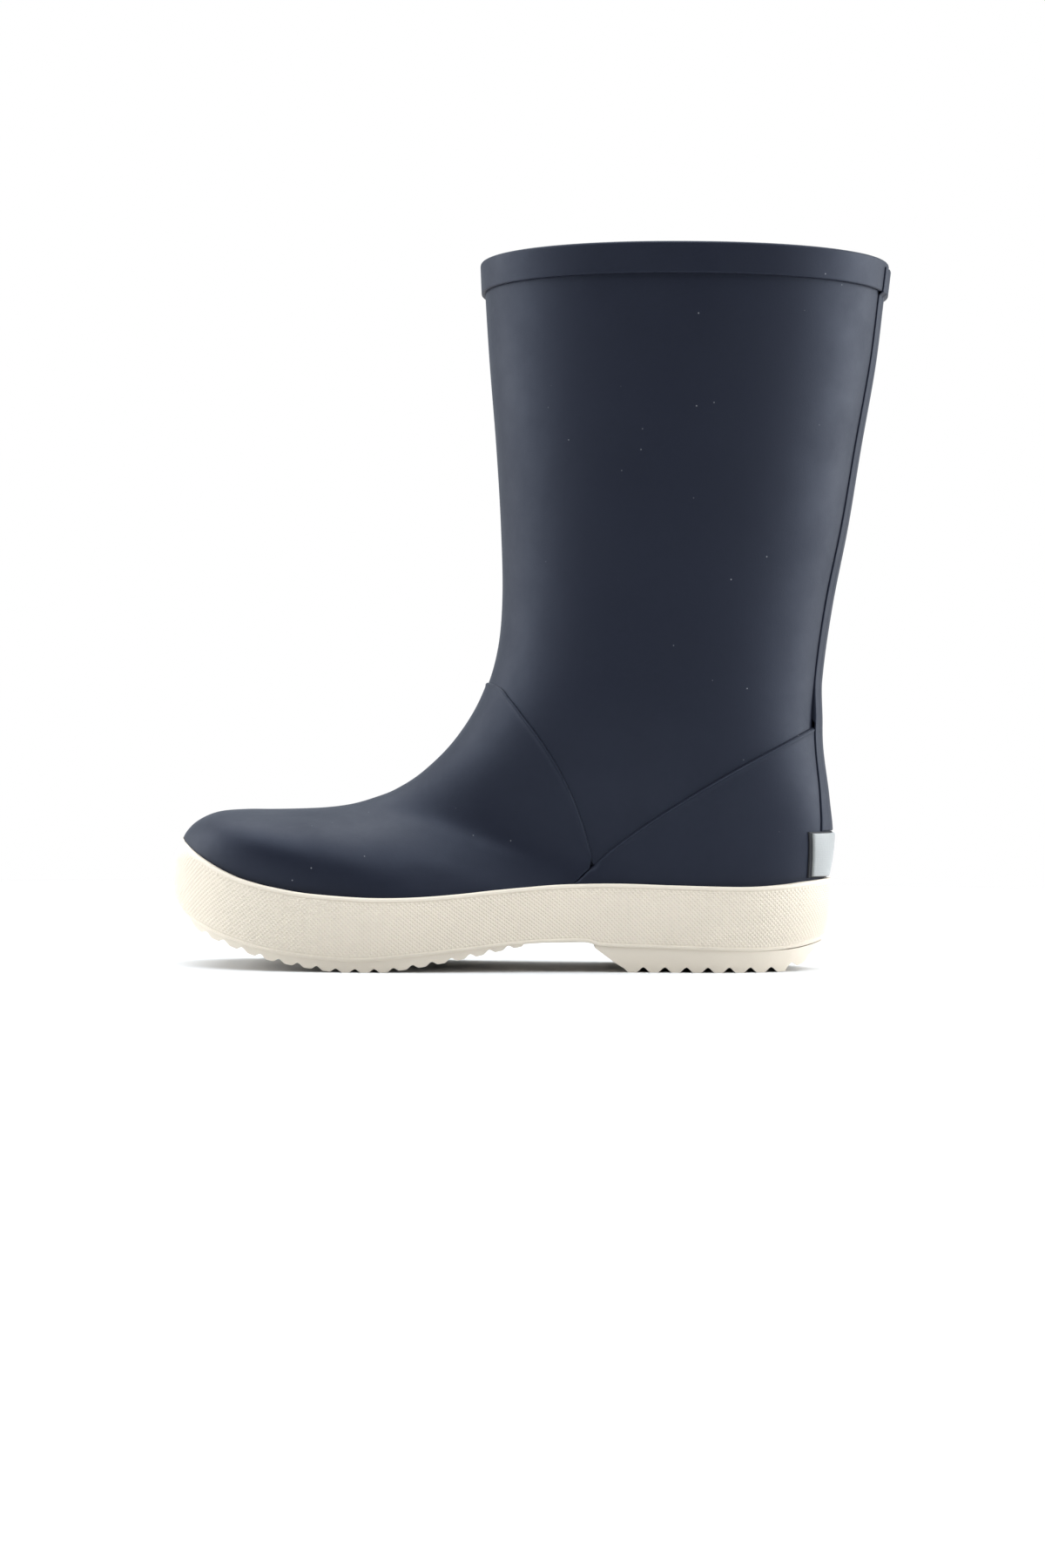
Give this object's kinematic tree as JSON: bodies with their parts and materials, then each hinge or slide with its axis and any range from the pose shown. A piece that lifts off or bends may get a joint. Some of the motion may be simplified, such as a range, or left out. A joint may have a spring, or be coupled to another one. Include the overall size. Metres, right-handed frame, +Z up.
{
  "type": "deck boot",
  "caption": "Mid-height rubber deck boot, left foot, with a banded rim, a back strip, a heel patch, a knurled foxing strip and a wave-tread sole with a heel block.",
  "frame": {"origin": "middle of the bounding box's footprint, on the ground plane under the sole", "axes": "+Z up along the leg, +X from toe to heel, +Y from the outer to the inner side of the foot"},
  "size_m": [0.2716, 0.106, 0.267],
  "materials": {
    "navy_rubber": "satin",
    "cream_rubber": "matt, knurled on the sides",
    "knit_lining": "fine cotton knit",
    "fibre_board": "matt pressed fibre",
    "foam": "soft foam",
    "footbed_fabric": "woven top cloth",
    "reflective_film": "retroreflective film",
    "reflector_backing": "matt",
    "spring_steel": "bare",
    "cork_filler": "granular cork compound"
  },
  "bodies": {
    "root": {"leg_shell": "navy_rubber", "vamp": "navy_rubber", "heel_counter": "navy_rubber", "top_band": "navy_rubber", "back_strip": "navy_rubber", "toe_puff": "fibre_board", "heel_stiffener": "fibre_board", "insole_board": "fibre_board", "reflector_backing": "reflector_backing", "reflective_patch": "reflective_film", "leg_lining": "knit_lining", "foot_lining": "knit_lining", "back_seam_tape": "footbed_fabric", "footbed": "foam", "footbed_cover": "footbed_fabric", "forefoot_filler": "cork_filler", "heel_filler": "cork_filler", "shank": "spring_steel", "foxing": "cream_rubber", "outsole": "cream_rubber", "heel_block": "cream_rubber"}
  },
  "joints": []
}
